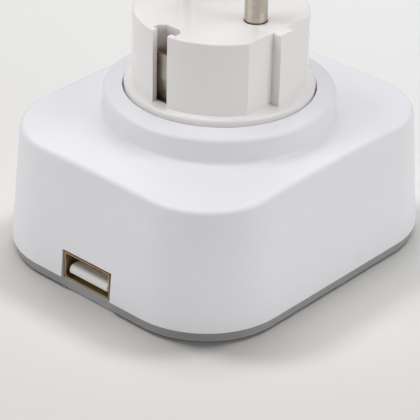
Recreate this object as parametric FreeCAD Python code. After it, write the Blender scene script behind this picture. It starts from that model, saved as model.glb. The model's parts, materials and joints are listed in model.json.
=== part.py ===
import FreeCAD, Part
import math
import os

# Plug-in power meter: a socket well, display and two buttons in front, a wall plug at the back
# and a USB charging port in one side.
# It lies on its front face.  Millimetres.  Origin: centre of the footprint on the front face.
# +Z points out of the wall plug's face, +X runs from the neutral pin to the live pin,
# and the USB port looks towards -Y.

Vector = FreeCAD.Vector
Z_AXIS = Vector(0, 0, 1)

# Housing outline, measured at the parting line between front cover and rear shell
HOUSING_HALF_X = 34.63
HOUSING_HALF_Y = 39.78
HOUSING_CORNER_R = 19.33
PARTING_Z = 2.5
DRAFT = 0.085
WALL = 2.2
SHELL_CEILING_Z = 28.4
REAR_CROWN_Z = 30.9
REAR_CROWN_R = 620.0
REAR_EDGE_FILLET = 1.1
COVER_INSET = 0.6
COVER_EDGE_FILLET = 0.35
LIP_GAP = 0.43
LIP_THICKNESS = 1.4
LIP_Z = 5.3
TAB_Y = 8.0
TAB_HALF_WIDTH = 3.0
TAB_X = (30.7, 32.0)
TAB_TOP_Z = 8.2
BARB_X = 32.8
BARB_BOTTOM_Z = 7.1
TAB_POCKET_MARGIN = 0.4

# Raised collar on the rear face
COLLAR_R = 24.9
COLLAR_TOP_Z = 36.82
COLLAR_RIM_Z = 35.85
COLLAR_FILLET = 0.9
COLLAR_FOOT_FILLET = 0.7
COLLAR_BORE_R = 20.62
COLLAR_CAVITY_R = 22.9
COLLAR_CEILING_Z = 34.4

# Wall-plug insert
FLANGE_R = 20.35
FLANGE_TOP_Z = 38.09
FLANGE_FILLET = 0.5
LIP_R = 22.6
LIP_BOTTOM_Z = 32.6
LIP_TOP_Z = 34.35
PLUG_R = 18.58
PLUG_FACE_Z = 54.25
PLUG_FACE_THICKNESS = 2.5
PLUG_CAVITY_R = 16.3
PLUG_FLAT_X = 16.05
PLUG_CAVITY_HALF_X = 13.7
RIB_X = 18.2
RIB_HALF_WIDTH = 2.0
BOSS_R = 4.4
BOSS_BOTTOM_Z = 40.0
POST_R = 3.4
POST_BOTTOM_Z = 36.5

# Earth slots in the sides of the plug: a narrow neck and a wider recess with bevelled inner corners
SLOT_NECK_HALF = 2.0
SLOT_RECESS_HALF = 3.15
SLOT_BACK_HALF = 1.85
SLOT_BACK_Y = 14.5
SLOT_BEVEL_Y = 15.75
SLOT_OUTER_Y = 17.25
SLOT_WALL = 1.3
SLIT_HALF = 2.85
SLIT_Y = (14.7, 16.9)
EARTH_STRIP_HALF = 2.75
EARTH_STRIP_TOP_Z = 48.6

# Plug pins
PIN_R = 2.4
PIN_LENGTH = 19.0
PIN_X = 9.5
PIN_TIP_FILLET = 1.9
PIN_ROOT_R = 2.15
PIN_STEP_Z = 54.6
PIN_TAIL_R = 1.5
PIN_TAIL_Z = 36.2
PIN_SHOULDER_Z = 41.0
PIN_HOLE_R = 2.58
PIN_HOLE_DEPTH = 1.0

# Central screw
SCREW_R = 1.5
SCREW_CLEARANCE_R = 1.6
SCREW_HEAD_R = 2.9
SCREW_HEAD_Z = (17.6, 18.7)
SCREW_END_Z = 47.0

# Earth hole for wall sockets with an earth pin
EARTH_HOLE_Y = 10.0
EARTH_HOLE_R = 3.25
EARTH_BORE_R = 2.45
EARTH_BORE_TOP_Z = 52.0

# Socket well in the front cover
WELL_R = 20.0
WELL_WALL_R = 22.0
WELL_DEPTH = 17.5
WELL_FLOOR_TOP_Z = 19.5
WELL_MOUTH_CHAMFER = 0.9
KEY_X = 17.0
KEY_HALF_WIDTH = 8.6
KEY_GROOVE_HALF = 2.7
KEY_GROOVE_X = 19.2
KEY_TOP_Z = 2.2
PIN_ENTRY_R = 2.8
CLIP_WINDOW_HALF = 3.3
CLIP_WINDOW_Z = 3.5

# Shutter, turning on the hub that carries the central screw
HUB_R = 2.55
HUB_TOP_Z = 22.0
SHUTTER_R = 14.5
SHUTTER_BOTTOM_Z = 19.8
SHUTTER_TOP_Z = 21.6
SHUTTER_BORE_R = 2.6
SHUTTER_TURN_DEG = 36.0
SHUTTER_HOLE_R = 2.75

# Contact carrier and contacts
CARRIER_HALF_X = 13.5
CARRIER_HALF_Y = 6.2
CARRIER_TOP_Z = 35.9
TULIP_IN_R = 2.42
TULIP_OUT_R = 3.2
TULIP_BOTTOM_Z = 23.6
TULIP_POCKET_R = 3.35
CONTACT_TAB_Z = 36.2
CONTACT_TAB_THICKNESS = 0.8
INPUT_TAB_Z = 38.0
BAR_LEVEL_Z = 25.0
BAR_END_X = 27.6
BAR_INNER_Y = 7.2
BAR_OUTER_Y = 10.5

# Circuit board around the well
BOARD_BOTTOM_Z = 8.6
BOARD_TOP_Z = 10.2
BOARD_HALF_X = 30.2
BOARD_HALF_Y = 35.2
BOARD_CORNER_R = 15.5
BOARD_HOLE_R = 22.7
BOARD_SCREW_XY = (28.0, 14.0)
BOARD_SCREW_R = 1.25
BOARD_SCREW_HEAD_R = 2.3
BOARD_SCREW_HEAD_Z = 11.9
BOARD_SCREW_SLOT = (1.5, 0.25, 11.2)
BOARD_BOSS_R = 2.8

# USB port
USB_X = -0.7
USB_Z = 5.7
USB_FRONT_Y = -39.2
USB_DEPTH = 14.0
USB_WIDTH = 13.1
USB_HEIGHT = 5.7
USB_MOUTH_DEPTH = 3.4
USB_MOUTH_HEIGHT = 6.2
USB_SHEET = 0.3
USB_TONGUE_Z = (3.85, 5.69)
USB_TONGUE_HALF = 5.6
USB_TONGUE_SETBACK = 0.3
USB_TONGUE_TOP_FILLET = 1.2
USB_TONGUE_EDGE_FILLET = 0.3
USB_NOTCH_X = (-7.85, 6.4)
USB_NOTCH_TOP_Z = 9.15

# Display
DISPLAY_Y = 29.6
WINDOW_HALF_X = 17.2
WINDOW_HALF_Y = 6.0
WINDOW_FRONT_Z = 0.25
WINDOW_BACK_Z = 1.45
WINDOW_CORNER_R = 1.6
WINDOW_GAP = 0.12
VIEW_HALF = (15.2, 4.4)
CELL_HALF_X = 17.5
CELL_Z = (2.6, 3.7, 4.8)
BACKLIGHT_HALF = (16.8, 3.9)
CONTACT_STRIP_OFFSET_Y = 4.7

# Buttons
BUTTON_X = 19.0
BUTTON_Y = -29.5
BUTTON_R = 4.2
BUTTON_HOLE_R = 4.35
BUTTON_FRONT_Z = 0.35
BUTTON_STEM_TOP_Z = 4.55
BUTTON_STEM_R = 1.5
BUTTON_FLANGE_R = 5.3
BUTTON_FLANGE_Z = (2.6, 3.4)
SWITCH_HALF = 3.0
SWITCH_BOTTOM_Z = 5.2
PLUNGER_R = 1.72
PLUNGER_TOP_Z = 6.2
PLUNGER_BOTTOM_Z = 4.6

FIT_GAP = 0.05


def box(x_low, x_high, y_low, y_high, z_low, z_high):
    return Part.makeBox(x_high - x_low, y_high - y_low, z_high - z_low, Vector(x_low, y_low, z_low))


def cylinder(radius, z_low, z_high, x=0.0, y=0.0):
    return Part.makeCylinder(radius, z_high - z_low, Vector(x, y, z_low), Z_AXIS)


def tube(outer, inner, z_low, z_high, x=0.0, y=0.0):
    return cylinder(outer, z_low, z_high, x, y).cut(cylinder(inner, z_low, z_high, x, y))


def rounded_outline(half_x, half_y, radius, z):
    """Closed wire of a rectangle with tangent corner arcs at height z."""
    corners = [(1, -1, -90), (1, 1, 0), (-1, 1, 90), (-1, -1, 180)]
    arcs = []
    for side_x, side_y, start in corners:
        centre = Vector(side_x * (half_x - radius), side_y * (half_y - radius), z)
        circle = Part.Circle(centre, Z_AXIS, radius)
        arcs.append(circle.toShape(math.radians(start), math.radians(start + 90)))
    edges = []
    for index, arc in enumerate(arcs):
        following = arcs[(index + 1) % 4]
        edges.append(arc)
        edges.append(Part.makeLine(arc.Vertexes[-1].Point, following.Vertexes[0].Point))
    return Part.Wire(edges)


def rounded_prism(half_x, half_y, radius, z_low, z_high, x=0.0, y=0.0):
    face = Part.Face(rounded_outline(half_x, half_y, radius, z_low))
    solid = face.extrude(Vector(0, 0, z_high - z_low))
    solid.translate(Vector(x, y, 0))
    return solid


def drafted_prism(half_x, half_y, radius, z_low, z_high):
    """Rounded prism whose sides lean in by DRAFT as z rises from the parting line."""
    outlines = []
    for z in (z_low, z_high):
        inset = DRAFT * (z - PARTING_Z)
        outlines.append(rounded_outline(half_x - inset, half_y - inset, radius - inset, z))
    return Part.makeLoft(outlines, True, True)


def edges_where(shape, test):
    return [edge for edge in shape.Edges if test(edge.BoundBox, edge)]


def fillet_where(shape, radius, test):
    return shape.makeFillet(radius, edges_where(shape, test))


def both_signs(make):
    """The union of a feature and its twin; make takes +1 or -1."""
    return make(1).fuse(make(-1))


def four_corners(x, y):
    return [(sx * x, sy * y) for sx in (-1, 1) for sy in (-1, 1)]


def bent_strip(path, thickness, x_low, x_high):
    """Sheet-metal strip of constant thickness along a path of (y, z) points, with rounded bends."""
    half = thickness / 2
    width = Vector(x_high - x_low, 0, 0)
    pieces = []
    for (y0, z0), (y1, z1) in zip(path, path[1:]):
        length = math.hypot(y1 - y0, z1 - z0)
        off_y = -(z1 - z0) / length * half
        off_z = (y1 - y0) / length * half
        corners = [(y0 + off_y, z0 + off_z), (y1 + off_y, z1 + off_z),
                   (y1 - off_y, z1 - off_z), (y0 - off_y, z0 - off_z)]
        points = [Vector(x_low, y, z) for y, z in corners]
        pieces.append(Part.Face(Part.makePolygon(points + points[:1])).extrude(width))
    for y, z in path[1:-1]:
        pieces.append(Part.makeCylinder(half, x_high - x_low, Vector(x_low, y, z), Vector(1, 0, 0)))
    return pieces[0].multiFuse(pieces[1:]).removeSplitter()


def tab_places():
    """Side and y of each spring tab that holds the front cover."""
    return [(side, tab_y) for side in (-1, 1) for tab_y in (-TAB_Y, TAB_Y)]


def rear_shell():
    """Rear casing: drafted wall, crowned back, raised collar with the bore for the plug insert."""
    body = drafted_prism(HOUSING_HALF_X, HOUSING_HALF_Y, HOUSING_CORNER_R, PARTING_Z, REAR_CROWN_Z + 1)
    dome = Part.makeSphere(REAR_CROWN_R, Vector(0, 0, REAR_CROWN_Z - REAR_CROWN_R))
    body = body.common(dome)
    body = fillet_where(body, REAR_EDGE_FILLET, lambda b, e: b.ZMin > 28.0)
    collar = cylinder(COLLAR_R, SHELL_CEILING_Z, COLLAR_RIM_Z)
    collar = collar.fuse(Part.makeCone(COLLAR_R, COLLAR_BORE_R, COLLAR_TOP_Z - COLLAR_RIM_Z,
                                       Vector(0, 0, COLLAR_RIM_Z)))
    collar = fillet_where(collar, COLLAR_FILLET, lambda b, e: abs(b.ZMin - COLLAR_RIM_Z) < 0.01
                          and b.ZMax < COLLAR_RIM_Z + 0.01)
    body = body.fuse(collar).removeSplitter()
    body = fillet_where(body, COLLAR_FOOT_FILLET, lambda b, e: 30.0 < b.ZMin and b.ZMax < 31.0
                        and abs(b.XMax - COLLAR_R) < 0.05 and len(e.Vertexes) <= 2)
    cavity = drafted_prism(HOUSING_HALF_X - WALL, HOUSING_HALF_Y - WALL, HOUSING_CORNER_R - WALL,
                           PARTING_Z - 0.5, SHELL_CEILING_Z)
    cavity = cavity.fuse(cylinder(COLLAR_CAVITY_R, SHELL_CEILING_Z - 1, COLLAR_CEILING_Z))
    body = body.cut(cavity)
    body = body.cut(cylinder(COLLAR_BORE_R, COLLAR_CEILING_Z - 1, COLLAR_TOP_Z + 1))
    body = body.cut(box(*USB_NOTCH_X, -HOUSING_HALF_Y - 1, -HOUSING_HALF_Y + 5, PARTING_Z - 1,
                        USB_NOTCH_TOP_Z))
    reach = TAB_HALF_WIDTH + TAB_POCKET_MARGIN
    for side, tab_y in tab_places():
        low, high = sorted((side * (TAB_X[0] - 0.7), side * (BARB_X + 0.3)))
        body = body.cut(box(low, high, tab_y - reach, tab_y + reach, BARB_BOTTOM_Z - 0.3, TAB_TOP_Z + 0.2))
    return fillet_where(body, 0.25, lambda b, e: abs(b.ZMin - COLLAR_TOP_Z) < 0.01
                        and abs(b.XMax - COLLAR_BORE_R) < 0.01)


def well_keys():
    """The two guide keys on the well's sides, each with a central groove."""
    def key(side):
        low, high = sorted((side * KEY_X, side * (WELL_R + 1.0)))
        block = box(low, high, -KEY_HALF_WIDTH, KEY_HALF_WIDTH, KEY_TOP_Z, WELL_DEPTH)
        block = fillet_where(block, 0.8, lambda b, e: b.ZMax < KEY_TOP_Z + 0.01
                             and abs(b.XMin - side * KEY_X) < 0.01 and abs(b.XMax - side * KEY_X) < 0.01)
        low, high = sorted((side * (KEY_X - 1), side * KEY_GROOVE_X))
        return block.cut(box(low, high, -KEY_GROOVE_HALF, KEY_GROOVE_HALF, 0, WELL_DEPTH + 1))
    return both_signs(key)


def cover_plate():
    """Front plate, set in from the shell's edge, with its rounded rim and its locating lip."""
    plate = rounded_prism(HOUSING_HALF_X - COVER_INSET, HOUSING_HALF_Y - COVER_INSET,
                          HOUSING_CORNER_R - COVER_INSET, 0, PARTING_Z)
    plate = fillet_where(plate, COVER_EDGE_FILLET, lambda b, e: b.ZMax < 0.01)
    inset = WALL + LIP_GAP
    inner = inset + LIP_THICKNESS
    lip = rounded_prism(HOUSING_HALF_X - inset, HOUSING_HALF_Y - inset, HOUSING_CORNER_R - inset,
                        PARTING_Z - 0.5, LIP_Z)
    lip = lip.cut(rounded_prism(HOUSING_HALF_X - inner, HOUSING_HALF_Y - inner, HOUSING_CORNER_R - inner,
                                PARTING_Z - 1, LIP_Z + 1))
    lip = lip.cut(box(USB_NOTCH_X[0] - 0.45, USB_NOTCH_X[1] + 0.5, -HOUSING_HALF_Y,
                      inner - HOUSING_HALF_Y + 2, PARTING_Z, LIP_Z + 1))
    return plate.fuse(lip)


def snap_tabs():
    """Four spring tabs whose barbs catch in pockets of the rear shell."""
    tabs = []
    for side, tab_y in tab_places():
        y_low = tab_y - TAB_HALF_WIDTH
        y_high = tab_y + TAB_HALF_WIDTH
        low, high = sorted((side * TAB_X[0], side * TAB_X[1]))
        tabs.append(box(low, high, y_low, y_high, PARTING_Z - 0.5, TAB_TOP_Z))
        low, high = sorted((side * (TAB_X[1] - 0.1), side * BARB_X))
        tabs.append(box(low, high, y_low, y_high, BARB_BOTTOM_Z, TAB_TOP_Z))
    return tabs[0].multiFuse(tabs[1:])


def front_cover():
    """Front cover with the socket well, display opening, button holes and board bosses."""
    cover = cover_plate().fuse(cylinder(WELL_WALL_R, 0, WELL_FLOOR_TOP_Z))
    cover = cover.fuse(snap_tabs())
    for x, y in four_corners(*BOARD_SCREW_XY):
        cover = cover.fuse(cylinder(BOARD_BOSS_R, PARTING_Z - 0.5, BOARD_BOTTOM_Z, x, y))
    cover = cover.cut(cylinder(WELL_R, -1, WELL_DEPTH))
    mouth = Part.makeCone(WELL_R + WELL_MOUTH_CHAMFER, WELL_R, WELL_MOUTH_CHAMFER)
    cover = cover.cut(mouth).fuse(well_keys())
    cover = cover.fuse(cylinder(HUB_R, WELL_FLOOR_TOP_Z - 0.5, HUB_TOP_Z))
    cover = cover.cut(cylinder(SCREW_CLEARANCE_R, WELL_DEPTH - 1, HUB_TOP_Z + 1))
    cover = cover.cut(cylinder(SCREW_HEAD_R + 0.2, WELL_DEPTH - 1, SCREW_HEAD_Z[1]))
    for side in (-1, 1):
        cover = cover.cut(cylinder(PIN_ENTRY_R, WELL_DEPTH - 1, WELL_FLOOR_TOP_Z + 1, side * PIN_X))
        cover = cover.cut(Part.makeCone(PIN_ENTRY_R + 0.6, PIN_ENTRY_R, 0.6,
                                        Vector(side * PIN_X, 0, WELL_DEPTH)))
        low, high = sorted((side * 15.8, side * 22.6))
        cover = cover.cut(box(-CLIP_WINDOW_HALF, CLIP_WINDOW_HALF, low, high, CLIP_WINDOW_Z, 20))
        cover = cover.cut(cylinder(BUTTON_HOLE_R, -1, PARTING_Z + 1, side * BUTTON_X, BUTTON_Y))
        dish = Part.makeCone(BUTTON_HOLE_R + 1.1, BUTTON_HOLE_R, 0.6,
                             Vector(side * BUTTON_X, BUTTON_Y, 0))
        cover = cover.cut(dish)
    for x, y in four_corners(*BOARD_SCREW_XY):
        cover = cover.cut(cylinder(BOARD_SCREW_R + FIT_GAP, 4, BOARD_BOTTOM_Z + 1, x, y))
    cover = cover.cut(rounded_prism(WINDOW_HALF_X + WINDOW_GAP, WINDOW_HALF_Y + WINDOW_GAP,
                                    WINDOW_CORNER_R + WINDOW_GAP, -1, WINDOW_BACK_Z, 0, DISPLAY_Y))
    cover = cover.cut(rounded_prism(*VIEW_HALF, 0.8, 0, PARTING_Z + 1, 0, DISPLAY_Y))
    return cover.removeSplitter()


def display_window():
    """Clear lens glued into the cover's recess."""
    lens = rounded_prism(WINDOW_HALF_X, WINDOW_HALF_Y, WINDOW_CORNER_R, WINDOW_FRONT_Z, WINDOW_BACK_Z,
                         0, DISPLAY_Y)
    return fillet_where(lens, 0.25, lambda b, e: b.ZMax < WINDOW_FRONT_Z + 0.01)


def display_panel():
    """Liquid-crystal cell: two glass plates, the lower one with a contact ledge."""
    front_z, joint_z, back_z = CELL_Z
    front = box(-CELL_HALF_X, CELL_HALF_X, DISPLAY_Y - 5.5, DISPLAY_Y + 4.3, front_z, joint_z)
    back = box(-CELL_HALF_X, CELL_HALF_X, DISPLAY_Y - 5.5, DISPLAY_Y + 5.5, joint_z, back_z)
    return front.fuse(back)


def display_backlight():
    """Light-spreading plate behind the liquid-crystal cell."""
    return rounded_prism(*BACKLIGHT_HALF, 0.6, CELL_Z[2] + FIT_GAP, 6.5, 0, DISPLAY_Y)


def display_connectors():
    """Two striped rubber strips that join the cell's contacts to the board."""
    def strip(side):
        y = DISPLAY_Y + side * CONTACT_STRIP_OFFSET_Y
        return box(-16.5, 16.5, y - 0.6, y + 0.6, CELL_Z[2] + FIT_GAP, BOARD_BOTTOM_Z)
    return both_signs(strip)


def button_cap(side):
    """Round push button with its retaining flange and its stem."""
    x = side * BUTTON_X
    flange_low, flange_high = BUTTON_FLANGE_Z
    cap = cylinder(BUTTON_R, BUTTON_FRONT_Z, flange_low + 0.2, x, BUTTON_Y)
    cap = fillet_where(cap, 0.5, lambda b, e: b.ZMax < BUTTON_FRONT_Z + 0.01)
    cap = cap.fuse(cylinder(BUTTON_FLANGE_R, flange_low, flange_high, x, BUTTON_Y))
    cap = cap.fuse(cylinder(BUTTON_STEM_R, flange_high, BUTTON_STEM_TOP_Z, x, BUTTON_Y))
    return cap.removeSplitter()


def switch_body(side):
    """Square body of a tactile switch under the board, hollow where its plunger travels."""
    x = side * BUTTON_X
    body = box(x - SWITCH_HALF, x + SWITCH_HALF, BUTTON_Y - SWITCH_HALF, BUTTON_Y + SWITCH_HALF,
               SWITCH_BOTTOM_Z, BOARD_BOTTOM_Z)
    return body.cut(cylinder(PLUNGER_R + 0.08, SWITCH_BOTTOM_Z - 0.2, PLUNGER_TOP_Z + 0.8, x, BUTTON_Y))


def switch_plunger(side):
    """Round plunger of a tactile switch."""
    return cylinder(PLUNGER_R, PLUNGER_BOTTOM_Z, PLUNGER_TOP_Z, side * BUTTON_X, BUTTON_Y)


def plug_insert():
    """Insulating body of the wall plug: flange, plug with flats and ribs, bosses and earth slots."""
    plug = cylinder(PLUG_R, LIP_TOP_Z, PLUG_FACE_Z)
    for side in (-1, 1):
        low, high = sorted((side * PLUG_FLAT_X, side * (PLUG_R + 1)))
        plug = plug.cut(box(low, high, -PLUG_R, PLUG_R, FLANGE_TOP_Z, PLUG_FACE_Z + 1))
        low, high = sorted((side * (PLUG_FLAT_X - 1), side * RIB_X))
        plug = plug.fuse(box(low, high, -RIB_HALF_WIDTH, RIB_HALF_WIDTH, FLANGE_TOP_Z - 1, PLUG_FACE_Z))
    plug = plug.removeSplitter()
    plug = fillet_where(plug, 0.45, lambda b, e: b.ZMin > PLUG_FACE_Z - 0.01)
    flange = cylinder(FLANGE_R, LIP_TOP_Z - 0.5, FLANGE_TOP_Z)
    flange = fillet_where(flange, FLANGE_FILLET, lambda b, e: b.ZMin > FLANGE_TOP_Z - 0.01)
    body = plug.fuse(flange).fuse(cylinder(LIP_R, LIP_BOTTOM_Z, LIP_TOP_Z)).removeSplitter()
    body = body.cut(plug_cavity())
    for side in (-1, 1):
        body = body.cut(earth_slot(side))
        hole = cylinder(PIN_ROOT_R, PIN_SHOULDER_Z, PLUG_FACE_Z + 1, side * PIN_X)
        ring = cylinder(PIN_HOLE_R, PLUG_FACE_Z - PIN_HOLE_DEPTH, PLUG_FACE_Z + 1, side * PIN_X)
        body = body.cut(hole).cut(ring)
        body = body.cut(cylinder(PIN_TAIL_R, BOSS_BOTTOM_Z, PIN_SHOULDER_Z, side * PIN_X))
    body = body.cut(cylinder(SCREW_R + 0.02, POST_BOTTOM_Z - 0.5, SCREW_END_Z + 1))
    return body.cut(cylinder(EARTH_HOLE_R, 36, PLUG_FACE_Z + 1, 0, EARTH_HOLE_Y)).removeSplitter()


def plug_cavity():
    """Hollow behind the plug's face, less the bosses, the centre post and the slot walls."""
    top = PLUG_FACE_Z - PLUG_FACE_THICKNESS
    cavity = cylinder(PLUG_CAVITY_R, LIP_BOTTOM_Z - 1, top)
    cavity = cavity.common(box(-PLUG_CAVITY_HALF_X, PLUG_CAVITY_HALF_X, -20, 20, 0, top))
    for side in (-1, 1):
        cavity = cavity.cut(cylinder(BOSS_R, BOSS_BOTTOM_Z, top, side * PIN_X))
        low, high = sorted((side * (SLOT_BACK_Y - SLOT_WALL), side * 20.0))
        reach = SLOT_RECESS_HALF + SLOT_WALL
        cavity = cavity.cut(box(-reach, reach, low, high, FLANGE_TOP_Z - 1.5, top))
    cavity = cavity.cut(cylinder(POST_R, POST_BOTTOM_Z, top))
    return cavity.cut(cylinder(EARTH_HOLE_R + 0.95, 38.0, top, 0, EARTH_HOLE_Y))


def earth_slot(side):
    """Slot in the plug's side, from the flange to the face, with a slit for the earth strip."""
    top = PLUG_FACE_Z + 1
    corners = [(-SLOT_RECESS_HALF, SLOT_OUTER_Y), (-SLOT_RECESS_HALF, SLOT_BEVEL_Y),
               (-SLOT_BACK_HALF, SLOT_BACK_Y), (SLOT_BACK_HALF, SLOT_BACK_Y),
               (SLOT_RECESS_HALF, SLOT_BEVEL_Y), (SLOT_RECESS_HALF, SLOT_OUTER_Y)]
    points = [Vector(x, side * y, FLANGE_TOP_Z) for x, y in corners]
    recess = Part.Face(Part.makePolygon(points + points[:1])).extrude(Vector(0, 0, top - FLANGE_TOP_Z))
    low, high = sorted((side * (SLOT_OUTER_Y - 0.5), side * (PLUG_R + 1)))
    neck = box(-SLOT_NECK_HALF, SLOT_NECK_HALF, low, high, FLANGE_TOP_Z, top)
    low, high = sorted((side * SLIT_Y[0], side * SLIT_Y[1]))
    slit = box(-SLIT_HALF, SLIT_HALF, low, high, FLANGE_TOP_Z - 3, FLANGE_TOP_Z + 0.5)
    return recess.fuse(neck).fuse(slit)


def plug_pin(side):
    """Round contact pin with a rounded tip, a thinner root held in the insert, and a thin tail."""
    x = side * PIN_X
    pin = cylinder(PIN_R, PIN_STEP_Z, PLUG_FACE_Z + PIN_LENGTH, x)
    pin = fillet_where(pin, PIN_TIP_FILLET, lambda b, e: b.ZMin > PLUG_FACE_Z + PIN_LENGTH - 0.01)
    root = cylinder(PIN_ROOT_R, PIN_SHOULDER_Z, PIN_STEP_Z, x)
    return pin.fuse(root).fuse(cylinder(PIN_TAIL_R, PIN_TAIL_Z, PIN_SHOULDER_Z, x))


def earth_strap():
    """Strap across the carrier with an upright spring strip in each slot of the plug."""
    bar = box(-EARTH_STRIP_HALF, EARTH_STRIP_HALF, -16.0, 16.0, CARRIER_TOP_Z, CARRIER_TOP_Z + 0.6)
    bar = bar.cut(cylinder(SCREW_CLEARANCE_R, CARRIER_TOP_Z - 1, CARRIER_TOP_Z + 2))

    def upright(side):
        path = [(side * 15.75, CARRIER_TOP_Z + 0.3), (side * 15.75, 39.5), (side * 16.25, 43.0),
                (side * 16.2, EARTH_STRIP_TOP_Z)]
        return bent_strip(path, 0.6, -EARTH_STRIP_HALF, EARTH_STRIP_HALF)
    return bar.fuse(both_signs(upright)).removeSplitter()


def earth_clips():
    """Pair of sprung clips that reach into the socket well through its windows."""
    def clip(side):
        path = [(side * 14.9, CARRIER_TOP_Z), (side * 14.9, 24.6), (side * 20.9, 24.6),
                (side * 20.9, 15.5), (side * 17.6, 9.5), (side * 20.4, 5.0)]
        return bent_strip(path, 0.7, -2.6, 2.6)
    return both_signs(clip)


def earth_sleeve():
    """Sleeve that receives a wall socket's own earth pin."""
    return tube(EARTH_HOLE_R - FIT_GAP, EARTH_BORE_R, CARRIER_TOP_Z + 0.6, EARTH_BORE_TOP_Z,
                0, EARTH_HOLE_Y)


def tulip(side):
    """Split sleeve that grips a plug pin."""
    x = side * PIN_X
    sleeve = tube(TULIP_OUT_R, TULIP_IN_R, TULIP_BOTTOM_Z, CONTACT_TAB_Z + 0.2, x)
    return sleeve.cut(box(x - 0.35, x + 0.35, -4, 4, TULIP_BOTTOM_Z - 1, 32.0))


def bus_bar(x_side, y_side, tab_z):
    """Stamped bar from a tab around the pin axis down and out to the board's edge."""
    thick = CONTACT_TAB_THICKNESS
    top = tab_z + thick
    out_x = x_side * BAR_END_X

    def span(inner_x, outer_x, inner_y, outer_y, z_low, z_high):
        xs = sorted((x_side * inner_x, x_side * outer_x))
        ys = sorted((y_side * inner_y, y_side * outer_y))
        return box(xs[0], xs[1], ys[0], ys[1], z_low, z_high)
    tab = span(6.5, 12.5, -3.0, BAR_INNER_Y + thick, tab_z, top)
    leg = span(7.5, 12.0, BAR_INNER_Y, BAR_INNER_Y + thick, BAR_LEVEL_Z, top)
    arm = span(7.5, abs(out_x), BAR_INNER_Y, BAR_OUTER_Y, BAR_LEVEL_Z, BAR_LEVEL_Z + thick)
    foot = span(abs(out_x) - thick, abs(out_x), BAR_INNER_Y, BAR_OUTER_Y, BOARD_TOP_Z, BAR_LEVEL_Z + thick)
    return tab.multiFuse([leg, arm, foot]).removeSplitter()


def live_input_bar():
    """Bar from the live pin to the input end of the shunt."""
    bar = bus_bar(1, 1, INPUT_TAB_Z)
    return bar.cut(cylinder(PIN_TAIL_R, INPUT_TAB_Z - 1, INPUT_TAB_Z + 2, PIN_X))


def live_contact():
    """Live tulip with the bar that leads to the output end of the shunt."""
    bar = bus_bar(1, -1, CONTACT_TAB_Z)
    return bar.fuse(tulip(1)).cut(cylinder(PIN_TAIL_R + 0.4, CONTACT_TAB_Z - 1, 40, PIN_X)).removeSplitter()


def neutral_contact():
    """Neutral tulip riveted to the neutral pin, with its bar to the board."""
    bar = bus_bar(-1, 1, CONTACT_TAB_Z)
    return bar.fuse(tulip(-1)).cut(cylinder(PIN_TAIL_R, CONTACT_TAB_Z - 1, 40, -PIN_X)).removeSplitter()


def contact_carrier():
    """Insulating block that holds both tulips and the shutter's spring."""
    block = rounded_prism(CARRIER_HALF_X, CARRIER_HALF_Y, 2.0, HUB_TOP_Z, CARRIER_TOP_Z)
    for side in (-1, 1):
        block = block.cut(cylinder(TULIP_POCKET_R, TULIP_BOTTOM_Z - 0.2, CARRIER_TOP_Z + 1, side * PIN_X))
        block = block.cut(cylinder(PIN_ENTRY_R, HUB_TOP_Z - 1, CARRIER_TOP_Z, side * PIN_X))
    block = block.cut(tube(5.5, HUB_R + 0.2, HUB_TOP_Z - 1, 24.6))
    return block.cut(cylinder(SCREW_CLEARANCE_R, HUB_TOP_Z - 1, CARRIER_TOP_Z + 1)).removeSplitter()


def shutter():
    """Child-safety disc: its two holes stand off the pin axis until it is turned."""
    disc = tube(SHUTTER_R, SHUTTER_BORE_R, SHUTTER_BOTTOM_Z, SHUTTER_TOP_Z)
    for side in (-1, 1):
        angle = math.radians(-SHUTTER_TURN_DEG) + (0 if side > 0 else math.pi)
        x = PIN_X * math.cos(angle)
        y = PIN_X * math.sin(angle)
        disc = disc.cut(cylinder(SHUTTER_HOLE_R, SHUTTER_BOTTOM_Z - 1, SHUTTER_TOP_Z + 1, x, y))
        ramp = Part.makeCone(2.6, 1.2, 0.9, Vector(side * PIN_X, 0, SHUTTER_BOTTOM_Z))
        disc = disc.cut(ramp)
    return disc


def shutter_spring():
    """Torsion spring around the hub, lying in the carrier's recess."""
    wire_r = 0.25
    coil_r = 4.1
    helix = Part.makeHelix(0.62, 1.86, coil_r)
    helix.translate(Vector(0, 0, HUB_TOP_Z + 0.35))
    section = Part.Wire(Part.makeCircle(wire_r, Vector(coil_r, 0, HUB_TOP_Z + 0.35), Vector(0, 1, 0)))
    return Part.Wire(helix).makePipeShell([section], True, True)


def main_board():
    """Ring-shaped circuit board around the socket well."""
    board = rounded_prism(BOARD_HALF_X, BOARD_HALF_Y, BOARD_CORNER_R, BOARD_BOTTOM_Z, BOARD_TOP_Z)
    board = board.cut(cylinder(BOARD_HOLE_R, BOARD_BOTTOM_Z - 1, BOARD_TOP_Z + 1))
    for x, y in four_corners(*BOARD_SCREW_XY):
        board = board.cut(cylinder(1.4, BOARD_BOTTOM_Z - 1, BOARD_TOP_Z + 1, x, y))
    return board


def board_screws():
    """Four pan-head screws that hold the board on the cover's bosses."""
    screws = []
    top = BOARD_SCREW_HEAD_Z
    length, width, floor = BOARD_SCREW_SLOT
    for x, y in four_corners(*BOARD_SCREW_XY):
        head = cylinder(BOARD_SCREW_HEAD_R, BOARD_TOP_Z, top, x, y)
        head = fillet_where(head, 0.6, lambda b, e: b.ZMin > top - 0.01)
        head = head.cut(box(x - length, x + length, y - width, y + width, floor, top + 1))
        head = head.cut(box(x - width, x + width, y - length, y + length, floor, top + 1))
        screws.append(head.fuse(cylinder(BOARD_SCREW_R, 4.4, BOARD_TOP_Z, x, y)))
    return Part.makeCompound(screws)


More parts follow.
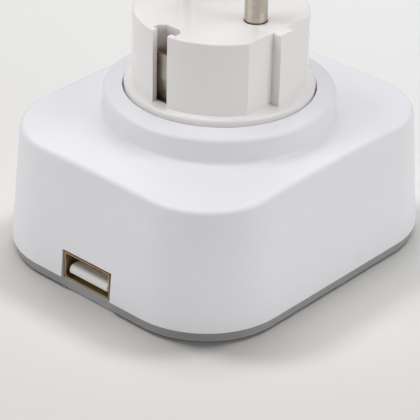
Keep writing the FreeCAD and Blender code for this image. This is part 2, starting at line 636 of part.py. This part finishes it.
def case_screw():
    """Central screw through cover, shutter hub, carrier and strap into the insert's post."""
    low, high = SCREW_HEAD_Z
    head = cylinder(SCREW_HEAD_R, low, high)
    head = fillet_where(head, 0.5, lambda b, e: b.ZMax < low + 0.01)
    for half_x, half_y in ((2.0, 0.4), (0.4, 2.0)):
        head = head.cut(box(-half_x, half_x, -half_y, half_y, low - 1, high - 0.45))
    return head.fuse(cylinder(SCREW_R, high, SCREW_END_Z))


def shunt_resistor():
    """Resistance-alloy bridge between the two live bars."""
    path = [(-10.3, 11.4), (-6.0, 11.4), (-4.6, 13.6), (4.6, 13.6), (6.0, 11.4), (10.3, 11.4)]
    return bent_strip(path, 0.9, 23.6, 26.7)


def box_chip(x, y, half_x, half_y, height):
    """Chip package with a row of leads along each long side."""
    body = box(x - half_x, x + half_x, y - half_y, y + half_y, BOARD_TOP_Z + 0.1, BOARD_TOP_Z + height)
    pitch = 1.27
    count = int(2 * half_x / pitch)
    leads = []
    for index in range(count):
        lead_x = x + (index - (count - 1) / 2) * pitch
        leads.append(box(lead_x - 0.2, lead_x + 0.2, y - half_y - 1.0, y + half_y + 1.0,
                         BOARD_TOP_Z, BOARD_TOP_Z + 0.3))
    return body.multiFuse(leads)


def metering_chip():
    return box_chip(9.0, -27.0, 5.0, 1.95, 1.7)


def microcontroller():
    return box_chip(-9.0, -28.5, 5.2, 3.75, 1.9)


def fuse_link():
    """Cylindrical fuse with its two end caps, lying on the board."""
    body = Part.makeCylinder(2.2, 10.0, Vector(14.0, -31.6, 12.7), Vector(-1, 0, 0))
    caps = []
    for x in (14.3, 5.6):
        caps.append(Part.makeCylinder(2.5, 1.9, Vector(x, -31.6, 12.7), Vector(-1, 0, 0)))
    return body.multiFuse(caps).removeSplitter()


def varistor():
    """Disc surge absorber standing on edge."""
    disc = Part.makeCylinder(5.0, 3.6, Vector(-27.2, -8.5, 15.6), Vector(1, 0, 0))
    return disc.makeFillet(0.8, disc.Edges)


def suppression_capacitor():
    """Box capacitor across the mains."""
    body = box(17.5, 24.5, 18.5, 31.0, BOARD_TOP_Z, 21.2)
    return body.makeFillet(0.5, body.Edges)


def can_capacitor(x, y, radius, height):
    can = cylinder(radius, BOARD_TOP_Z, BOARD_TOP_Z + height, x, y)
    return can.makeFillet(0.5, can.Edges)


def input_capacitors():
    """Two smoothing capacitors of the power supply."""
    return Part.makeCompound([can_capacitor(-14.0, 28.4, 4.0, 13.0), can_capacitor(-22.4, 23.6, 4.0, 13.0)])


def output_capacitor():
    """Low-voltage capacitor of the USB supply."""
    return can_capacitor(13.0, 30.4, 3.15, 11.5)


def transformer_core():
    """Ferrite core of the supply's transformer, two legs and a centre leg."""
    core = box(-7.5, 6.5, 24.2, 34.2, 11.4, 24.4)
    for low, high in ((-5.4, -2.1), (1.1, 4.4)):
        core = core.cut(box(low, high, 23.0, 35.0, 14.0, 21.8))
    return core


def transformer_coil():
    """Bobbin with its winding around the core's centre leg."""
    coil = box(-5.3, 4.3, 23.6, 34.8, 14.1, 21.7)
    return coil.cut(box(-2.2, 1.2, 24.1, 34.3, 13.0, 23.0))


def usb_sleeve(height, front_y, back_y, inset):
    """Rounded block with the outline of the jacket, shrunk by inset."""
    half_w = USB_WIDTH / 2 - inset
    half_h = height / 2 - inset
    block = box(USB_X - half_w, USB_X + half_w, front_y, back_y, USB_Z - half_h, USB_Z + half_h)
    return fillet_where(block, 0.5 - inset / 2, lambda b, e: b.YMax - b.YMin > back_y - front_y - 0.01)


def usb_shell():
    """Folded sheet-metal jacket of the USB socket, open at the front, with a taller mouth."""
    mouth_y = USB_FRONT_Y + USB_MOUTH_DEPTH
    back_y = USB_FRONT_Y + USB_DEPTH
    jacket = usb_sleeve(USB_MOUTH_HEIGHT, USB_FRONT_Y, mouth_y, 0)
    jacket = jacket.fuse(usb_sleeve(USB_HEIGHT, mouth_y - 0.5, back_y, 0))
    jacket = jacket.cut(usb_sleeve(USB_MOUTH_HEIGHT, USB_FRONT_Y - 1, mouth_y - USB_SHEET, USB_SHEET))
    return jacket.cut(usb_sleeve(USB_HEIGHT, mouth_y - 1, back_y - USB_SHEET, USB_SHEET))


def usb_tongue():
    """Insulating tongue with rounded front and the rear block of the USB socket."""
    back_y = USB_FRONT_Y + USB_DEPTH
    front_y = USB_FRONT_Y + USB_TONGUE_SETBACK
    low_z, high_z = USB_TONGUE_Z
    tongue = box(USB_X - USB_TONGUE_HALF, USB_X + USB_TONGUE_HALF, front_y, back_y - 2, low_z, high_z)
    tongue = fillet_where(tongue, USB_TONGUE_TOP_FILLET,
                          lambda b, e: b.YMax < front_y + 0.01 and b.ZMin > high_z - 0.01)
    tongue = fillet_where(tongue, USB_TONGUE_EDGE_FILLET,
                          lambda b, e: b.YMax < front_y + 0.01 and b.ZMin < low_z + 0.01)
    block = box(USB_X - 6.1, USB_X + 6.1, back_y - 4.5, back_y - 0.35, USB_Z - 2.4, USB_Z + 2.4)
    return tongue.fuse(block).removeSplitter()


def usb_contacts():
    """Four contact strips on the tongue."""
    low_z = USB_TONGUE_Z[1]
    strips = []
    for offset in (-3.5, -1.0, 1.0, 3.5):
        x = USB_X + offset
        strips.append(box(x - 0.5, x + 0.5, USB_FRONT_Y + 2.7, USB_FRONT_Y + USB_DEPTH - 4.5,
                          low_z, low_z + 0.18))
    return Part.makeCompound(strips)


PARTS = {
    "rear_shell": rear_shell,
    "front_cover": front_cover,
    "display_window": display_window,
    "display_panel": display_panel,
    "display_backlight": display_backlight,
    "display_connectors": display_connectors,
    "mode_button": lambda: button_cap(-1),
    "set_button": lambda: button_cap(1),
    "mode_switch_body": lambda: switch_body(-1),
    "set_switch_body": lambda: switch_body(1),
    "mode_switch_plunger": lambda: switch_plunger(-1),
    "set_switch_plunger": lambda: switch_plunger(1),
    "plug_insert": plug_insert,
    "live_pin": lambda: plug_pin(1),
    "neutral_pin": lambda: plug_pin(-1),
    "live_input_bar": live_input_bar,
    "live_contact": live_contact,
    "neutral_contact": neutral_contact,
    "earth_strap": earth_strap,
    "earth_clips": earth_clips,
    "earth_sleeve": earth_sleeve,
    "contact_carrier": contact_carrier,
    "shutter": shutter,
    "shutter_spring": shutter_spring,
    "case_screw": case_screw,
    "main_board": main_board,
    "board_screws": board_screws,
    "shunt_resistor": shunt_resistor,
    "metering_chip": metering_chip,
    "microcontroller": microcontroller,
    "fuse_link": fuse_link,
    "varistor": varistor,
    "suppression_capacitor": suppression_capacitor,
    "input_capacitors": input_capacitors,
    "output_capacitor": output_capacitor,
    "transformer_core": transformer_core,
    "transformer_coil": transformer_coil,
    "usb_shell": usb_shell,
    "usb_tongue": usb_tongue,
    "usb_contacts": usb_contacts,
}

os.makedirs("parts", exist_ok=True)
for name, make in PARTS.items():
    shape = make()
    shape.exportStep("parts/%s.step" % name)
    print("%-24s valid %s  solids %d  volume %.1f" % (name, shape.isValid(), len(shape.Solids), shape.Volume))
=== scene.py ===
import json
import math

import bmesh
import bpy
from mathutils import Matrix, Vector


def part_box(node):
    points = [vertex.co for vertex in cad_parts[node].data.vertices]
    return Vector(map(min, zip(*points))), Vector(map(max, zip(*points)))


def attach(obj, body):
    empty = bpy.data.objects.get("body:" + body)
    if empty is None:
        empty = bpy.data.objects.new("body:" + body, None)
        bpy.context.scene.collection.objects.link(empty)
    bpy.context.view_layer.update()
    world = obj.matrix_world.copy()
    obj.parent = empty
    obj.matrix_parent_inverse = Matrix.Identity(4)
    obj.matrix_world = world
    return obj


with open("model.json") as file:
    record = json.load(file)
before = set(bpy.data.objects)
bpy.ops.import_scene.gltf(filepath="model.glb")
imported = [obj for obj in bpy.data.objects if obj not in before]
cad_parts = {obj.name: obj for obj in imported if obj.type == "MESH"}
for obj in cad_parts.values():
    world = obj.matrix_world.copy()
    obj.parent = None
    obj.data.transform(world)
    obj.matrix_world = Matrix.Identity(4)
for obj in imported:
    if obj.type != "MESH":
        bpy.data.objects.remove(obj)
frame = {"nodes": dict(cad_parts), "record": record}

scene = bpy.context.scene
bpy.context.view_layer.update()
MM = 0.001

# Camera at the photograph's angle: degrees and metres, lens and sensor in millimetres
CAMERA_AZIMUTH = 41.755
CAMERA_ELEVATION = 30.14
CAMERA_ROLL = 1.29
CAMERA_DISTANCE = 0.42737
CAMERA_OFFSET_RIGHT = -0.001422
CAMERA_OFFSET_UP = -0.012687
CAMERA_TARGET_Z = 0.020
LENS = 169.383
SENSOR_WIDTH = 36.0

# Soft boxes as (name, azimuth, elevation, distance, size, watts), in degrees and metres
FLOOR_LAMPS = (
    ("floor_key_left", -80, 64, 0.9, 0.16, 2.85),
    ("floor_key_right", 164, 67, 0.9, 0.16, 2.4),
    ("floor_key_back", 222, 72, 0.9, 0.35, 2.75),
)
FLOOR_FILL = ("floor_fill", 42, 80, 1.5, 1.0, 0.8)
OBJECT_LAMPS = (
    ("object_left_high", -50, 58, 1.1, 0.6, 3.7),
    ("object_left", -24, 24, 1.1, 0.8, 2.9),
    ("object_right_high", 132, 58, 1.1, 0.6, 2.1),
    ("object_right", 104, 26, 1.1, 0.8, 4.2),
    ("object_back", 222, 50, 1.1, 0.8, 3.2),
    ("object_top", 42, 72, 1.1, 0.6, 1.1),
)
WORLD_COLOR = (0.98, 0.99, 1.0)
WORLD_STRENGTH = 0.12

# Nearly all values of a noise texture lie between these two
NOISE_LOW = 0.3
NOISE_HIGH = 0.7

BLACK = (0, 0, 0)
WHITE = (1, 1, 1)
PLASTIC_VARIATION = 0.02
METAL_VARIATION = 0.08
GLASS_VARIATION = 0.04
PLASTIC_GRAIN_DEPTH = 0.004 * MM
METAL_STREAK_DEPTH = 0.003 * MM
GLASS_WAVE_DEPTH = 0.02 * MM

FLOOR_SIZE = 6.0
FLOOR_TONE = (0.705, 0.69, 0.67)
FLOOR_VARIATION = 0.005
# Painted light: paler, cooler floor tones towards the back
PAINTED_FAR_LIGHT_TONES = ((0.79, 0.815, 0.815), (0.80, 0.825, 0.825))

# Millimetres: where the floor's painted light grows paler, the cover's front edge with its painted light,
# the plug's earth slots and the strip in them with their painted shade
FAR_START_Y = -30
FAR_END_Y = 230
COVER_EDGE_END_Z = 0.6
SLOT_INNER_Y = 14.2
SLOT_OUTER_Y = 17.3
SLOT_SIDE_X = 3.0
SLOT_FADE_X = 3.3
SLOT_SHADE_SPAN_X = 2.2
STRIP_TOP_Z = 46.0
PLUG_FACE_Z = 54.2
STRIP_MIDDLE_X = 1.3
STRIP_SIDE_X = 2.3
STRIP_FOOT_START_Z = 30.0
STRIP_FOOT_END_Z = 41.5

# Display digits, with a zero's bars as (from column, from row, to column, to row) on a 1 x 2 grid
DIGIT_COUNT = 4
DIGIT_HEIGHT = 6.0 * MM
DIGIT_WIDTH = 3.3 * MM
DIGIT_PITCH = 5.2 * MM
FIRST_DIGIT = -2.2
SLANT = 0.09
BAR_HALF = 0.38 * MM
BAR_GAP = 0.12 * MM
INK_THICKNESS = 0.03 * MM
ZERO_BARS = ((0, 2, 1, 2), (1, 2, 1, 1), (1, 1, 1, 0), (0, 0, 1, 0), (0, 1, 0, 0), (0, 2, 0, 1))
LEVEL_COUNT = 3
LEVEL_GAP = 0.4 * MM
LEVEL_WIDTH = 1.0 * MM
LEVEL_GROWTH = 0.5 * MM
LEVEL_HEIGHT = 0.9 * MM
LEVEL_PITCH = 2.2 * MM


def shader_of(material):
    return material.node_tree.nodes["Principled BSDF"]


def fresh_material(name):
    """A new material with its node tree and principled shader."""
    material = bpy.data.materials.new(name)
    material.use_nodes = True
    return material, material.node_tree, shader_of(material)


def noise(tree, scale, detail=3.0, roughness=0.55, stretch=(1, 1, 1), offset=(0, 0, 0)):
    """Noise over the object's own coordinates, in metres."""
    coords = tree.nodes.new("ShaderNodeTexCoord")
    mapping = tree.nodes.new("ShaderNodeMapping")
    mapping.inputs["Scale"].default_value = stretch
    mapping.inputs["Location"].default_value = offset
    texture = tree.nodes.new("ShaderNodeTexNoise")
    texture.inputs["Scale"].default_value = scale
    texture.inputs["Detail"].default_value = detail
    texture.inputs["Roughness"].default_value = roughness
    tree.links.new(coords.outputs["Object"], mapping.inputs["Vector"])
    tree.links.new(mapping.outputs["Vector"], texture.inputs["Vector"])
    return texture.outputs["Fac"]


def ramp(tree, value, stops):
    """Colour ramp over value, from stops of (position, colour)."""
    node = tree.nodes.new("ShaderNodeValToRGB")
    elements = node.color_ramp.elements
    while len(elements) < len(stops):
        elements.new(0.5)
    for element, (position, color) in zip(elements, stops):
        element.position = position
        element.color = (*color, 1.0)
    tree.links.new(value, node.inputs["Fac"])
    return node.outputs["Color"]


def mottled(tree, value, low_tone, high_tone):
    """Two tones mixed by a noise value."""
    return ramp(tree, value, [(NOISE_LOW, low_tone), (NOISE_HIGH, high_tone)])


def spread(tree, value, low, high):
    """Maps a noise value onto the range from low to high."""
    node = tree.nodes.new("ShaderNodeMapRange")
    node.inputs["To Min"].default_value = low
    node.inputs["To Max"].default_value = high
    node.inputs["From Min"].default_value = NOISE_LOW
    node.inputs["From Max"].default_value = NOISE_HIGH
    tree.links.new(value, node.inputs["Value"])
    return node.outputs["Result"]


def bump(tree, shader, value, distance, strength=1.0):
    node = tree.nodes.new("ShaderNodeBump")
    node.inputs["Strength"].default_value = strength
    node.inputs["Distance"].default_value = distance
    tree.links.new(value, node.inputs["Height"])
    tree.links.new(node.outputs["Normal"], shader.inputs["Normal"])


def shade(color, factor):
    return tuple(min(1.0, c * factor) for c in color)


def around(color, variation):
    """A darker and a lighter tone on either side of a colour."""
    return shade(color, 1 - variation), shade(color, 1 + variation)


def grey(level):
    return (level, level, level)


def plastic(name, color, roughness=(0.32, 0.42), specular=0.5):
    """Moulded plastic: fine grain, faint cloudy tone, uneven gloss."""
    material, tree, shader = fresh_material(name)
    cloud = noise(tree, scale=38.0, detail=4.0)
    tone = mottled(tree, cloud, *around(color, PLASTIC_VARIATION))
    tree.links.new(tone, shader.inputs["Base Color"])
    gloss = noise(tree, scale=140.0, detail=5.0, roughness=0.6, offset=(3, 1, 2))
    tree.links.new(spread(tree, gloss, *roughness), shader.inputs["Roughness"])
    shader.inputs["Specular IOR Level"].default_value = specular
    grain = noise(tree, scale=2600.0, detail=2.0)
    bump(tree, shader, grain, PLASTIC_GRAIN_DEPTH)
    return material


def metal(name, color, roughness=(0.22, 0.38), stretch=(1, 1, 0.05)):
    """Drawn or stamped metal: streaks along the working direction and worn patches."""
    material, tree, shader = fresh_material(name)
    shader.inputs["Metallic"].default_value = 1.0
    patches = noise(tree, scale=260.0, detail=5.0, roughness=0.65)
    tone = mottled(tree, patches, *around(color, METAL_VARIATION))
    tree.links.new(tone, shader.inputs["Base Color"])
    streaks = noise(tree, scale=900.0, roughness=0.6, stretch=stretch)
    tree.links.new(spread(tree, streaks, *roughness), shader.inputs["Roughness"])
    bump(tree, shader, streaks, METAL_STREAK_DEPTH)
    return material


def glass(name, color, alpha, roughness=(0.03, 0.09)):
    """Clear or tinted moulding with faint smears."""
    material, tree, shader = fresh_material(name)
    smears = noise(tree, scale=70.0, detail=5.0, roughness=0.6, stretch=(1, 2.5, 1))
    tone = mottled(tree, smears, *around(color, GLASS_VARIATION))
    tree.links.new(tone, shader.inputs["Base Color"])
    tree.links.new(spread(tree, smears, *roughness), shader.inputs["Roughness"])
    shader.inputs["Alpha"].default_value = alpha
    waves = noise(tree, scale=30.0, detail=1.0)
    bump(tree, shader, waves, GLASS_WAVE_DEPTH, strength=0.25)
    return material


def along(tree, axis, start, end, both_sides=True):
    """0 to 1 between two places in millimetres, by default counted outwards from the middle plane."""
    coords = tree.nodes.new("ShaderNodeTexCoord")
    split = tree.nodes.new("ShaderNodeSeparateXYZ")
    tree.links.new(coords.outputs["Object"], split.inputs["Vector"])
    place = split.outputs[axis]
    if both_sides:
        size = tree.nodes.new("ShaderNodeMath")
        size.operation = "ABSOLUTE"
        tree.links.new(place, size.inputs[0])
        place = size.outputs["Value"]
    node = tree.nodes.new("ShaderNodeMapRange")
    node.inputs["From Min"].default_value = start * MM
    node.inputs["From Max"].default_value = end * MM
    tree.links.new(place, node.inputs["Value"])
    return node.outputs["Result"]


def times(tree, first, second):
    node = tree.nodes.new("ShaderNodeMath")
    node.operation = "MULTIPLY"
    tree.links.new(first, node.inputs[0])
    tree.links.new(second, node.inputs[1])
    return node.outputs["Value"]


def tinted(tree, shader, amount, tint):
    """Lays a tint over the shader's base colour where amount is high."""
    base = shader.inputs["Base Color"].links[0].from_socket
    node = tree.nodes.new("ShaderNodeMix")
    node.data_type = "RGBA"
    tree.links.new(amount, node.inputs["Factor"])
    tree.links.new(base, node.inputs["A"])
    tree.links.new(tint, node.inputs["B"])
    tree.links.new(node.outputs["Result"], shader.inputs["Base Color"])


def cover_plastic():
    """Grey moulding, with painted light making its rounded front edge paler where it meets the floor."""
    material = plastic("cover_plastic", (0.37, 0.365, 0.365), (0.40, 0.52))
    tree = material.node_tree
    # Painted light: a paler band on the rounded front edge, lifting the shade there near the floor
    painted_edge_light = mottled(tree, noise(tree, scale=300.0), (0.50, 0.495, 0.49), (0.57, 0.565, 0.56))
    height = along(tree, "Z", 0.0, COVER_EDGE_END_Z)
    painted_edge = ramp(tree, height, [(0.03, BLACK), (0.08, WHITE), (0.5, WHITE), (0.9, BLACK)])
    tinted(tree, shader_of(material), painted_edge, painted_edge_light)
    return material


def insert_plastic():
    """Moulded plug body, with painted shade in the slots' recesses: brownish, darker the deeper they go
    and towards -X.
    """
    material = plastic("insert_plastic", (0.915, 0.886, 0.880), (0.18, 0.27), specular=0.6)
    tree = material.node_tree
    # Painted shade: a brownish tone laid into the slot recesses
    recess_shade_tone = mottled(tree, noise(tree, scale=420.0, detail=4.0), (0.22, 0.14, 0.09), (0.34, 0.26, 0.20))
    outward = along(tree, "Y", SLOT_INNER_Y, SLOT_OUTER_Y)
    recess = ramp(tree, outward, [(0.05, BLACK), (0.08, WHITE), (0.97, WHITE), (1.0, BLACK)])
    sideways = along(tree, "X", SLOT_SIDE_X, SLOT_FADE_X)
    narrow = ramp(tree, sideways, [(0.4, WHITE), (0.8, BLACK)])
    # Painted shade grows darker deeper down in the recess
    height = along(tree, "Z", STRIP_TOP_Z, PLUG_FACE_Z)
    depth_shade = ramp(tree, height, [(0.0, WHITE), (0.4, grey(0.70)), (0.85, grey(0.42)), (1.0, BLACK)])
    # Painted shade is stronger on the -X side of each recess
    across = along(tree, "X", -SLOT_SHADE_SPAN_X, SLOT_SHADE_SPAN_X, both_sides=False)
    side_shade = ramp(tree, across, [(0.0, WHITE), (1.0, grey(0.45))])
    amount = times(tree, times(tree, recess, narrow), times(tree, depth_shade, side_shade))
    tinted(tree, shader_of(material), amount, recess_shade_tone)
    return material


def earth_metal():
    """Plated strip with painted shade: dull brown along its edges and dark at its foot in the slot."""
    material = metal("earth_metal", (0.60, 0.57, 0.49), (0.25, 0.45))
    tree = material.node_tree
    shader = shader_of(material)
    # Painted shade and a painted brown reflection along the strip's edges
    edge_shade_tone = mottled(tree, noise(tree, scale=500.0, detail=4.0), (0.30, 0.19, 0.115), (0.42, 0.29, 0.19))
    sideways = along(tree, "X", STRIP_MIDDLE_X, STRIP_SIDE_X)
    painted_edge = ramp(tree, sideways, [(0.0, BLACK), (1.0, WHITE)])
    tinted(tree, shader, painted_edge, edge_shade_tone)
    # Painted shade darkening the strip's foot in the slot
    foot_shade_tone = mottled(tree, noise(tree, scale=600.0), (0.09, 0.05, 0.03), (0.16, 0.10, 0.06))
    height = along(tree, "Z", STRIP_FOOT_START_Z, STRIP_FOOT_END_Z)
    foot_shade = ramp(tree, height, [(0.5, BLACK), (0.6, WHITE), (0.7, WHITE), (1.0, BLACK)])
    tinted(tree, shader, foot_shade, foot_shade_tone)
    # The painted shade is made less metallic so that it stays dark
    edge_metallic = ramp(tree, sideways, [(0.0, WHITE), (1.0, BLACK)])
    foot_metallic = ramp(tree, height, [(0.5, WHITE), (0.6, BLACK), (0.7, BLACK), (1.0, WHITE)])
    tree.links.new(times(tree, edge_metallic, foot_metallic), shader.inputs["Metallic"])
    return material


MATERIALS = {
    "shell_plastic": plastic("shell_plastic", (0.87, 0.87, 0.905), (0.36, 0.46)),
    "cover_plastic": cover_plastic(),
    "insert_plastic": insert_plastic(),
    "clear_window": glass("clear_window", (0.55, 0.58, 0.60), 0.22),
    "display_glass": glass("display_glass", (0.42, 0.47, 0.40), 1.0, (0.12, 0.2)),
    "display_ink": plastic("display_ink", (0.045, 0.05, 0.05), (0.2, 0.3)),
    "diffuser": plastic("diffuser", (0.85, 0.86, 0.86)),
    "conductive_rubber": plastic("conductive_rubber", (0.03, 0.03, 0.032), (0.6, 0.8)),
    "button_plastic": plastic("button_plastic", (0.74, 0.74, 0.77), (0.34, 0.46)),
    "switch_plastic": plastic("switch_plastic", (0.02, 0.02, 0.022), (0.4, 0.55)),
    "plated_brass": metal("plated_brass", (0.58, 0.53, 0.46)),
    "contact_brass": metal("contact_brass", (0.72, 0.53, 0.26)),
    "earth_metal": earth_metal(),
    "carrier_plastic": plastic("carrier_plastic", (0.72, 0.70, 0.62)),
    "shutter_plastic": plastic("shutter_plastic", (0.62, 0.62, 0.62)),
    "spring_steel": metal("spring_steel", (0.55, 0.55, 0.56)),
    "screw_steel": metal("screw_steel", (0.52, 0.52, 0.53)),
    "board_laminate": plastic("board_laminate", (0.02, 0.12, 0.04)),
    "shunt_alloy": metal("shunt_alloy", (0.62, 0.42, 0.26)),
    "chip_plastic": plastic("chip_plastic", (0.015, 0.015, 0.016), (0.5, 0.7)),
    "fuse_body": plastic("fuse_body", (0.66, 0.60, 0.46)),
    "varistor_coating": plastic("varistor_coating", (0.02, 0.06, 0.30)),
    "capacitor_box": plastic("capacitor_box", (0.62, 0.48, 0.04)),
    "capacitor_can": plastic("capacitor_can", (0.03, 0.032, 0.05)),
    "ferrite": plastic("ferrite", (0.025, 0.025, 0.027), (0.5, 0.7)),
    "winding": plastic("winding", (0.60, 0.44, 0.05)),
    "usb_steel": metal("usb_steel", (0.50, 0.36, 0.20), (0.26, 0.40), stretch=(1, 0.05, 1)),
    "usb_plastic": plastic("usb_plastic", (0.82, 0.82, 0.80)),
    "usb_gold": metal("usb_gold", (0.80, 0.58, 0.22)),
}


def paint():
    """Every CAD node takes the material of the slot that the record gives it."""
    for part in frame["record"]["subparts"]:
        node = frame["nodes"][part["node"]]
        material = MATERIALS[part["material_slot"]]
        if node.data.materials:
            for index in range(len(node.data.materials)):
                node.data.materials[index] = material
        else:
            node.data.materials.append(material)


def true_normals():
    """Flat faces shade flat right up to the edge rounds beside them."""
    for node in frame["nodes"].values():
        modifier = node.modifiers.new("true_normals", "WEIGHTED_NORMAL")
        modifier.mode = "FACE_AREA"
        modifier.weight = 90
        modifier.keep_sharp = True


def mesh_piece(name, mesh_maker, material):
    """A flat-shaded mesh object filled by mesh_maker(bmesh)."""
    mesh = bpy.data.meshes.new(name)
    work = bmesh.new()
    mesh_maker(work)
    bmesh.ops.recalc_face_normals(work, faces=work.faces)
    work.to_mesh(mesh)
    work.free()
    piece = bpy.data.objects.new(name, mesh)
    piece.data.materials.append(material)
    scene.collection.objects.link(piece)
    return piece


def slab(work, outline, z_low, z_high):
    """Closed prism over an outline of (x, y) points."""
    low = [work.verts.new((x, y, z_low)) for x, y in outline]
    high = [work.verts.new((x, y, z_high)) for x, y in outline]
    work.faces.new(low[::-1])
    work.faces.new(high)
    for index in range(len(outline)):
        after = (index + 1) % len(outline)
        work.faces.new((low[index], low[after], high[after], high[index]))


def bar_outline(bar):
    """Six-cornered bar between two grid points of a digit, seen from the front."""
    column_a, row_a, column_b, row_b = bar
    start = Vector((column_a * DIGIT_WIDTH, row_a * DIGIT_HEIGHT / 2))
    end = Vector((column_b * DIGIT_WIDTH, row_b * DIGIT_HEIGHT / 2))
    direction = (end - start).normalized()
    side = Vector((-direction.y, direction.x)) * BAR_HALF
    start += direction * BAR_GAP
    end -= direction * BAR_GAP
    shoulder = direction * BAR_HALF
    return [start, start + shoulder + side, end - shoulder + side, end,
            end - shoulder - side, start + shoulder - side]


def rectangle(width, height, lift=0.0):
    """Corners of a rectangle that stands on a line at height lift."""
    corners = ((0, 0), (width, 0), (width, height), (0, height))
    return [Vector((x, y + lift)) for x, y in corners]


def display_digits():
    """Four zeros, a point and three level bars on the front of the liquid-crystal cell."""
    low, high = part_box("display_panel")
    centre_y = (low.y + high.y) / 2
    front = low.z - INK_THICKNESS

    def place(point, left):
        x = left + point.x + SLANT * point.y
        return (-x, centre_y - DIGIT_HEIGHT / 2 + point.y)

    def build(work):
        lefts = [(index + FIRST_DIGIT) * DIGIT_PITCH for index in range(DIGIT_COUNT)]
        for left in lefts:
            for bar in ZERO_BARS:
                slab(work, [place(p, left) for p in bar_outline(bar)], front, low.z)
        dot = lefts[-1] - (DIGIT_PITCH - DIGIT_WIDTH) / 2 - BAR_HALF
        slab(work, [place(p, dot) for p in rectangle(2 * BAR_HALF, 2 * BAR_HALF)], front, low.z)
        left = lefts[-1] + DIGIT_PITCH + LEVEL_GAP
        for level in range(LEVEL_COUNT):
            bar = rectangle(LEVEL_WIDTH + LEVEL_GROWTH * level, LEVEL_HEIGHT, LEVEL_PITCH * level)
            slab(work, [place(p, left) for p in bar], front, low.z)

    piece = mesh_piece("display_digits", build, MATERIALS["display_ink"])
    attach(piece, "housing")


def add_floor():
    """Pale paper, with painted light that makes it slightly paler and cooler towards the back."""
    bpy.ops.mesh.primitive_plane_add(size=FLOOR_SIZE, location=(0, 0, 0))
    floor = bpy.context.object
    floor.name = "floor"
    material, tree, shader = fresh_material("floor_paper")
    shader.inputs["Roughness"].default_value = 0.8
    shader.inputs["Specular IOR Level"].default_value = 0.2
    cloud = noise(tree, scale=9.0)
    tree.links.new(mottled(tree, cloud, *around(FLOOR_TONE, FLOOR_VARIATION)), shader.inputs["Base Color"])
    # Painted light: the floor grows paler and cooler towards the back
    far_light = along(tree, "Y", FAR_START_Y, FAR_END_Y, both_sides=False)
    tinted(tree, shader, far_light, mottled(tree, cloud, *PAINTED_FAR_LIGHT_TONES))
    floor.data.materials.append(material)
    return floor


def towards(azimuth, elevation):
    """Unit vector at two angles in degrees. Azimuth 0 is the -Y side, turning towards +X."""
    a = math.radians(azimuth)
    e = math.radians(elevation)
    return Vector((math.sin(a) * math.cos(e), -math.cos(a) * math.cos(e), math.sin(e)))


def receivers(name, floor, state):
    """Group for a lamp's light linking: the floor alone, or everything but the floor."""
    group = bpy.data.collections.new(name)
    group.objects.link(floor)
    group.collection_objects[0].light_linking.link_state = state
    return group


def add_light(group, name, azimuth, elevation, distance, size, watts, shadows=True):
    """Square soft box that looks at the object and lights one group."""
    place = towards(azimuth, elevation) * distance
    data = bpy.data.lights.new(name, "AREA")
    data.shape = "SQUARE"
    data.size = size
    data.energy = watts
    data.use_shadow = shadows
    lamp = bpy.data.objects.new(name, data)
    lamp.light_linking.receiver_collection = group
    lamp.location = place
    lamp.rotation_euler = place.to_track_quat("Z", "Y").to_euler()
    scene.collection.objects.link(lamp)


def add_lights(floor):
    """Separate lamps for floor and object, since only the floor carries the photograph's shadows."""
    on_floor = receivers("on_floor", floor, "INCLUDE")
    on_object = receivers("on_object", floor, "EXCLUDE")
    for lamp in FLOOR_LAMPS:
        add_light(on_floor, *lamp)
    add_light(on_floor, *FLOOR_FILL, shadows=False)
    for lamp in OBJECT_LAMPS:
        add_light(on_object, *lamp)


def add_world():
    world = bpy.data.worlds.new("studio")
    world.use_nodes = True
    background = world.node_tree.nodes["Background"]
    background.inputs["Color"].default_value = (*WORLD_COLOR, 1.0)
    background.inputs["Strength"].default_value = WORLD_STRENGTH
    scene.world = world


def add_camera():
    azimuth = math.radians(CAMERA_AZIMUTH)
    roll = math.radians(CAMERA_ROLL)
    back = towards(CAMERA_AZIMUTH, CAMERA_ELEVATION)
    right = Vector((math.cos(azimuth), math.sin(azimuth), 0))
    up = back.cross(right)
    tilted_right = right * math.cos(roll) + up * math.sin(roll)
    tilted_up = up * math.cos(roll) - right * math.sin(roll)
    target = Vector((0, 0, CAMERA_TARGET_Z)) + right * CAMERA_OFFSET_RIGHT + up * CAMERA_OFFSET_UP
    data = bpy.data.cameras.new("camera")
    data.lens = LENS
    data.sensor_width = SENSOR_WIDTH
    camera = bpy.data.objects.new("camera", data)
    turn = Matrix((tilted_right, tilted_up, back)).transposed().to_4x4()
    camera.matrix_world = Matrix.Translation(target + back * CAMERA_DISTANCE) @ turn
    scene.collection.objects.link(camera)
    scene.camera = camera


paint()
true_normals()
display_digits()

scene.view_settings.view_transform = "Standard"
floor = add_floor()
add_camera()
add_world()
add_lights(floor)
